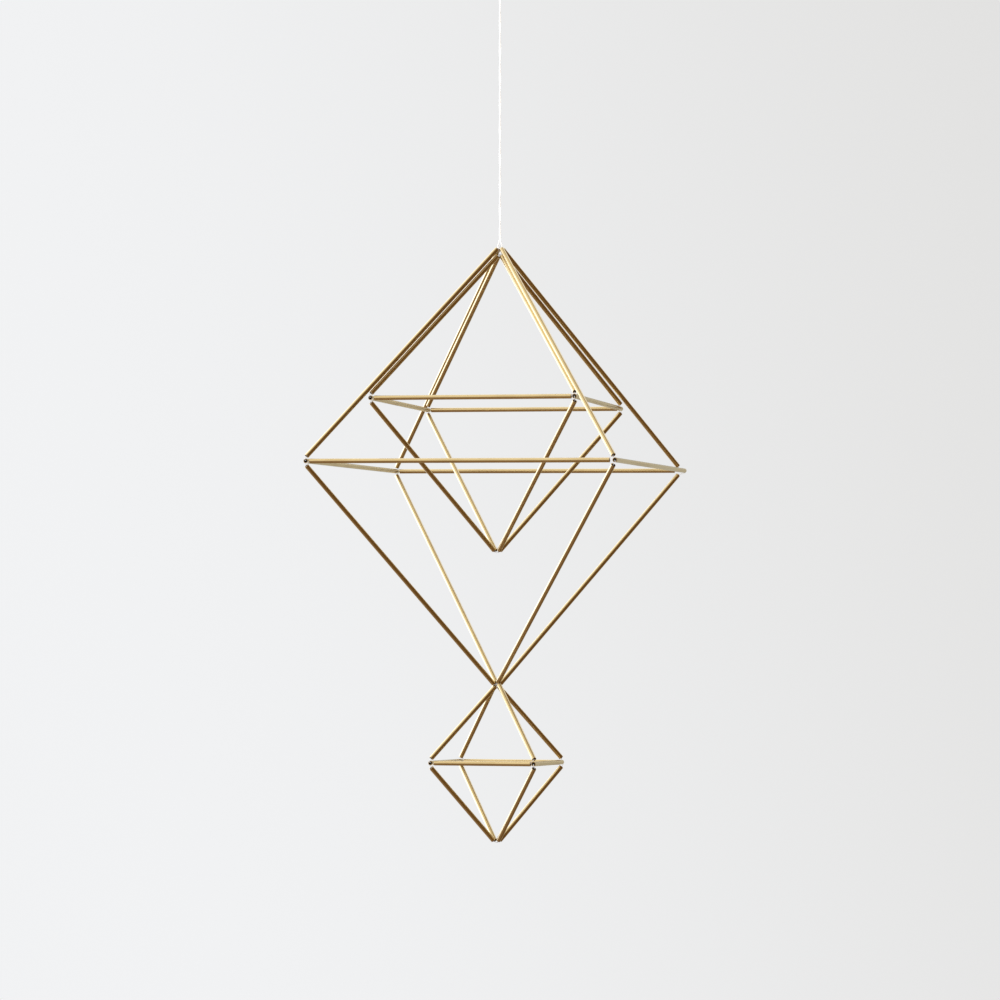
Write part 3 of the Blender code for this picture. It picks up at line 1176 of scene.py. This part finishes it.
@dataclass
class String:
    """The twisted cotton string with the knot and loop at its top and the eye at its foot.

    Attributes:
        hanging: The heights that it hangs at.
        ply_offset: Distance of each ply's middle from the string's.
        ply_radius: Half a ply's thickness.
        pitch: Length of one turn of the plies.
        rings: Rings along the straight string.
        knot_reach: Middle distance of the knot's cord from the axis.
        knot_swing: How far it swings in and out of that.
        knot_pitch: Length of one turn of the plies in the knot.
        knot_rings: Rings along the knot's cord.
    """

    hanging: Hanging = field(default_factory=Hanging)
    ply_offset: float = 0.00024
    ply_radius: float = 0.00027
    pitch: float = 0.0276
    rings: int = 320
    knot_reach: float = 0.00075
    knot_swing: float = 0.00045
    knot_pitch: float = 0.006
    knot_rings: int = 180

    def twist(self, pitch: float, sides: int, phase: float = 0.0) -> Twist:
        """The string's two plies at a given lay."""
        return Twist(2, self.ply_offset, self.ply_radius, pitch, sides, phase)

    def build_string(self, cotton: Material) -> Tuple[Piece, Array]:
        """Make the straight string from its upper end down.

        Args:
            cotton: Its finish.

        Returns:
            The string and its centre line.
        """
        heights = np.linspace(self.hanging.string_top, self.hanging.string_bottom, self.rings)
        path = np.stack([np.zeros(self.rings), np.zeros(self.rings), heights], axis=1)
        side = np.tile([1.0, 0.0, 0.0], (self.rings, 1))
        up = np.tile([0.0, -1.0, 0.0], (self.rings, 1))
        distance = self.hanging.string_top - heights
        phase = -2 * math.pi * self.hanging.string_length / self.pitch
        lay = self.twist(self.pitch, sides=14, phase=phase)
        skin = lay.along(path, closed=False, frames=(side, up, distance))
        return skin.make("twisted_string", cotton), path

    def build_loop(self, cotton: Material) -> Piece:
        """Make the loop that goes over a hook, a smooth teardrop through ten points.

        Args:
            cotton: Its finish.

        Returns:
            The loop.
        """
        wide, tall = self.hanging.loop_width, self.hanging.loop_height
        half = np.array([(0.22, 0.12), (0.47, 0.45), (0.50, 0.72), (0.29, 0.94)])
        left = np.stack([-half[:, 0] * wide, half[:, 1] * tall], axis=1)
        right = np.stack([half[::-1, 0] * wide, half[::-1, 1] * tall], axis=1)
        outline = np.concatenate([[(0, 0)], left, [(0, tall)], right])
        flat = np.zeros(len(outline))
        points = np.stack([outline[:, 0], flat, outline[:, 1] + self.hanging.loop_bottom], axis=1)
        path = smooth_through(points, samples=14, closed=True)
        return self.twist(self.pitch, sides=12).along(path, closed=True).make("twisted_loop", cotton)

    def build_knot(self, cotton: Material) -> Piece:
        """Make the overhand knot.

        The cord follows a trefoil: two turns round the axis while it goes three times in and out,
        at the reach plus the swing times the cosine of three times the angle. It is taller than
        its solid by the clearance at each end, so that it meets the loop and the string.

        Args:
            cotton: Its finish.

        Returns:
            The knot.
        """
        t = np.linspace(0, 2 * math.pi, self.knot_rings, endpoint=False)
        reach = self.knot_reach + self.knot_swing * np.cos(3 * t)
        height = (self.hanging.knot_height - self.hanging.stock.string) / 2 + self.hanging.stock.clearance
        middle = self.hanging.knot_bottom + self.hanging.knot_height / 2
        across, deep = reach * np.cos(2 * t), reach * np.sin(2 * t)
        path = np.stack([across, deep, middle + height * np.sin(3 * t)], axis=1)
        return self.twist(self.knot_pitch, sides=12).along(path, closed=True).make("overhand_knot", cotton)

    def build_eye(self, cotton: Material) -> Piece:
        """Make the eye, in which the string's two plies part and pass under the thread arcs.

        Args:
            cotton: Its finish.

        Returns:
            The eye.
        """
        stock, tall, half = self.hanging.stock, self.hanging.eye_height, self.hanging.eye_half_width
        low = stock.arc_rise - (stock.thread + stock.eye_ply) / 2 - stock.thread_room
        top = self.hanging.string_bottom - self.hanging.apex
        legs = [
            (self.ply_offset, top + stock.thread),
            (self.ply_offset, top - stock.thread_room),
            (0.42 * half, 0.74 * tall),
            (half, 0.34 * tall),
            (0.85 * half, low + 0.5 * stock.eye_ply),
        ]
        left = [(-x, z) for x, z in legs]
        outline = np.array(left + [(0, low)] + legs[::-1])
        back = np.where(outline[:, 1] < top - stock.clearance, -self.hanging.eye_setback, 0.0)
        points = np.stack([outline[:, 0], back, outline[:, 1] + self.hanging.apex], axis=1)
        path = smooth_through(points, samples=6, closed=False)
        ply = Twist(plies=1, offset=0.0, radius=stock.eye_ply / 2, pitch=self.pitch, sides=12)
        return ply.along(path, closed=False).make("parted_eye", cotton)

    def build(self, cotton: Material) -> None:
        """Args:
            cotton: Their finish.
        """
        string, path = self.build_string(cotton)
        pieces = {
            "hanging_loop": self.build_loop(cotton),
            "hanging_knot": self.build_knot(cotton),
            "string_eye": self.build_eye(cotton),
        }
        settle(string, "hanging_string")
        for node, piece in pieces.items():
            settle(piece, node)


@dataclass
class NestTie:
    """The thread loop that hangs the middle octahedron from the large one's thread arcs."""

    apex: Array
    nest_apex: Array
    stock: Stock = field(default_factory=Stock)
    side_room: float = 0.00003

    def build(self, thread: Material) -> None:
        """Make the loop, a long oval round both pairs of arcs.

        Args:
            thread: Its finish.
        """
        width, rise = self.stock.thread, self.stock.arc_rise
        half = self.stock.arc_offset + width + self.side_room
        top = self.apex + np.array([0, self.stock.arc_offset, rise + width + self.stock.slack])
        bottom = self.nest_apex + np.array([0, self.stock.arc_offset, rise - width - self.stock.slack])
        across, drop = np.array([half, 0, 0]), np.array([0, 0, 0.8 * width])
        middle = (top + bottom) / 2
        points = np.array(
            [
                top,
                top - across - drop,
                middle - across,
                bottom - across + drop,
                bottom,
                bottom + across + drop,
                middle + across,
                top + across - drop,
            ]
        )
        skin = THREAD_LAY.along(smooth_through(points, samples=8, closed=True), closed=True)
        settle(skin.make("nest_thread_tie", thread), "nest_tie")


# Light, floor and camera


@dataclass(frozen=True)
class Lamp:
    """One broad soft lamp that doesn't show in the brass.

    Attributes:
        name: The lamp's name.
        place: Where its middle is.
        watts: Its strength.
        size: Its width.
    """

    name: str
    place: Place
    watts: float
    size: float = 1.8

    def hang(self, height: float) -> None:
        """Hang the lamp so that it faces the mobile.

        Args:
            height: Height of the point that it faces, on the mobile's axis.
        """
        data = bpy.data.lights.new(self.name, "AREA")
        data.shape, data.size, data.energy = "DISK", self.size, self.watts
        lamp = bpy.data.objects.new(self.name, data)
        lamp.location = self.place
        aim = unit(np.array([0, 0, height]) - np.array(self.place))
        lamp.rotation_euler = (math.acos(-aim[2]), 0, math.atan2(aim[1], aim[0]) - math.pi / 2)
        lamp.visible_glossy = False
        bpy.context.scene.collection.objects.link(lamp)


@dataclass(frozen=True)
class Floor:
    """A plain pale round floor, far under the mobile."""

    height: float = -1.25
    rings: Tuple[float, ...] = (0.001, 1.0, 2.2, 3.0, 3.6)
    corners: int = 64
    darker: Colour = (0.41, 0.41, 0.415)
    lighter: Colour = (0.44, 0.44, 0.445)
    roughness: float = 0.8

    def lay(self) -> None:
        """Lay the floor, rings of points round the mobile's axis."""
        rings = np.array(self.rings)[:, None]
        around = np.linspace(0, 2 * math.pi, self.corners, endpoint=False)
        x, y = rings * np.cos(around), rings * np.sin(around)
        points = np.stack([x, y, np.full_like(x, self.height)], axis=-1)[::-1]
        pale, nodes, shader = new_material("pale_floor")
        place = nodes.add("ShaderNodeTexCoord").outputs["Object"]
        noise = nodes.add("ShaderNodeTexNoise", {"Vector": place, "Scale": 2.0, "Detail": 3.0})
        nodes.link(nodes.mix(noise.outputs["Fac"], self.darker, self.lighter), shader, "Base Color")
        shader.inputs["Roughness"].default_value = self.roughness
        floor = Surface.grid(points, {}, close_rows=False).make("floor", pale)
        floor.visible_glossy = False
        floor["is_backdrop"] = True


@dataclass(frozen=True)
class Room:
    """Soft light from all round: a bright window at the left, a pale wall behind, a dim right.

    A direction's parts along X, Y and Z, and along the aims of window and wall, choose its colour.
    Each pair of limits gives where one colour begins to give way to the next, and where it has.
    """

    window_at: Place = (-0.92, 0.36, 0.13)
    wall_at: Place = (-0.45, 0.87, 0.20)
    low_front: Colour = (0.27, 0.178, 0.11)
    high_front: Colour = (0.97, 0.91, 0.80)
    front_rises: Limits = (-0.42, 0.32)
    dim_right: Colour = (0.15, 0.082, 0.030)
    right_dims: Limits = (-0.35, 0.50)
    back_floor: Colour = (0.24, 0.18, 0.12)
    low_wall: Colour = (0.56, 0.53, 0.50)
    wall_begins: Limits = (-0.60, -0.20)
    high_wall: Colour = (1.20, 1.22, 1.30)
    wall_rises: Limits = (-0.08, 0.28)
    far_right: Colour = (0.30, 0.22, 0.14)
    wall_ends: Limits = (0.38, 0.70)
    wall_edge: Limits = (0.05, 0.60)
    window: Colour = (2.20, 2.42, 3.00)
    window_edge: Limits = (0.62, 1.00)
    behind: Colour = (0.50, 0.49, 0.44)
    behind_edge: Limits = (0.86, 0.95)
    backdrop_falls: Place = (0.93, 0.26, 0.25)
    backdrop_near: Colour = (0.885, 0.892, 0.903)
    backdrop_far: Colour = (0.740, 0.735, 0.725)
    backdrop_fades: Limits = (-0.16, 0.34)

    def light(self) -> None:
        """Light the room, and put a plain pale backdrop where the camera looks past the mobile."""
        world = bpy.data.worlds.new("room")
        world.use_nodes = True
        world.node_tree.nodes.clear()
        bpy.context.scene.world = world
        nodes = Nodes(world.node_tree)
        way = nodes.add("ShaderNodeTexCoord").outputs["Generated"]
        part = nodes.add("ShaderNodeSeparateXYZ", {0: way}).outputs
        aims = (self.wall_at, self.window_at)
        at_wall, at_window = (nodes.toward(way, unit(np.array(aim))) for aim in aims)
        wall = nodes.mix(nodes.spread(part["Z"], self.wall_begins), self.back_floor, self.low_wall)
        wall = nodes.mix(nodes.spread(part["Z"], self.wall_rises), wall, self.high_wall)
        wall = nodes.mix(nodes.spread(part["X"], self.wall_ends), wall, self.far_right)
        colour = nodes.mix(nodes.spread(part["Z"], self.front_rises), self.low_front, self.high_front)
        for place, limits, beyond in (
            (part["X"], self.right_dims, self.dim_right),
            (at_wall, self.wall_edge, wall),
            (at_window, self.window_edge, self.window),
            (part["Y"], self.behind_edge, self.behind),
        ):
            colour = nodes.mix(nodes.spread(place, limits), colour, beyond)
        fade = nodes.spread(nodes.toward(way, self.backdrop_falls), self.backdrop_fades)
        backdrop = nodes.mix(fade, self.backdrop_near, self.backdrop_far)
        lit, seen = (nodes.add("ShaderNodeBackground", {"Color": c}).outputs[0] for c in (colour, backdrop))
        ray = nodes.add("ShaderNodeLightPath").outputs["Is Camera Ray"]
        mixed = nodes.add("ShaderNodeMixShader", {0: ray, 1: lit, 2: seen})
        nodes.add("ShaderNodeOutputWorld", {"Surface": mixed.outputs[0]})


@dataclass(frozen=True)
class Studio:
    """The photograph's camera, the lamps, the floor and the room round the mobile."""

    distance: float = 1.5184
    turn: float = 15.367
    pitch: float = 2.415
    height: float = -0.35125
    lens: float = 106.94
    sensor: float = 36.0
    lamps: Tuple[Lamp, ...] = (
        Lamp("window_lamp", (-1.7, -0.9, 0.9), 54.0),
        Lamp("fill_lamp", (1.5, -1.7, 0.2), 48.0),
    )

    def place_camera(self) -> None:
        """Put the camera at the photograph's angle."""
        data = bpy.data.cameras.new("camera")
        data.lens, data.sensor_width = self.lens, self.sensor
        camera = bpy.data.objects.new("camera", data)
        turn = math.radians(self.turn)
        camera.location = (self.distance * math.sin(turn), -self.distance * math.cos(turn), self.height)
        camera.rotation_euler = (math.radians(90 + self.pitch), 0, turn)
        bpy.context.scene.collection.objects.link(camera)
        bpy.context.scene.camera = camera
        bpy.context.scene.view_settings.view_transform = "Standard"

    def furnish(self) -> None:
        """Lay the floor, light the room and hang the lamps."""
        Floor().lay()
        Room().light()
        for lamp in self.lamps:
            lamp.hang(self.height)


def count_triangles(piece: Piece) -> int:
    """How many triangles a piece's mesh has."""
    piece.data.calc_loop_triangles()
    return len(piece.data.loop_triangles)


def main() -> None:
    """Build the camera, the string, the octahedra and the room, in that order."""
    studio, stock, hanging = Studio(), Stock(), Hanging()
    studio.place_camera()
    effects = Effects()
    cotton, thread = STRING_COTTON.material(effects), SEWING_THREAD.material(effects)
    String(hanging).build(cotton)
    apex = np.array([0.0, 0.0, hanging.apex])
    nest_apex = apex - (0, 0, stock.nest_drop)
    even = (Spread.EVEN, Spread.EVEN)
    outer = Octahedron(
        "outer",
        length=0.1524,
        apex=apex,
        turn=0.0,
        lean=(0.90, 0.65),
        top_joint=even,
        bottom_joint=(Spread.WIDE, Spread.CLOSE),
        top_crown=stock.arc_rise,
        bottom_crown=stock.hook_dip,
        right_shift=(0.0010, 0.0032),
    )
    inner = Octahedron(
        "inner",
        length=0.1016,
        apex=nest_apex,
        turn=0.0,
        lean=(0.45, 0.70),
        top_joint=even,
        bottom_joint=even,
        top_crown=stock.arc_rise,
        bottom_crown=stock.arc_rise,
    )
    pendant = Octahedron(
        "pendant",
        length=0.0508,
        apex=outer.bottom() - (0, 0, stock.pendant_drop),
        turn=-2.1,
        lean=(-1.35, -0.20),
        top_joint=(Spread.CLOSE, Spread.WIDE),
        bottom_joint=even,
        top_crown=stock.hook_rise,
        bottom_crown=stock.arc_rise,
    )
    for i, octahedron in enumerate((outer, inner, pendant)):
        brass = BrassFinish("brass_" + octahedron.label).material(effects)
        octahedron.build(brass, thread, start=i * len(octahedron.tube_ends()))
    NestTie(apex, nest_apex).build(thread)
    studio.furnish()
    log.info("triangles: %d", sum(count_triangles(piece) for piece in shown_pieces()))


if __name__ == "__main__":
    main()
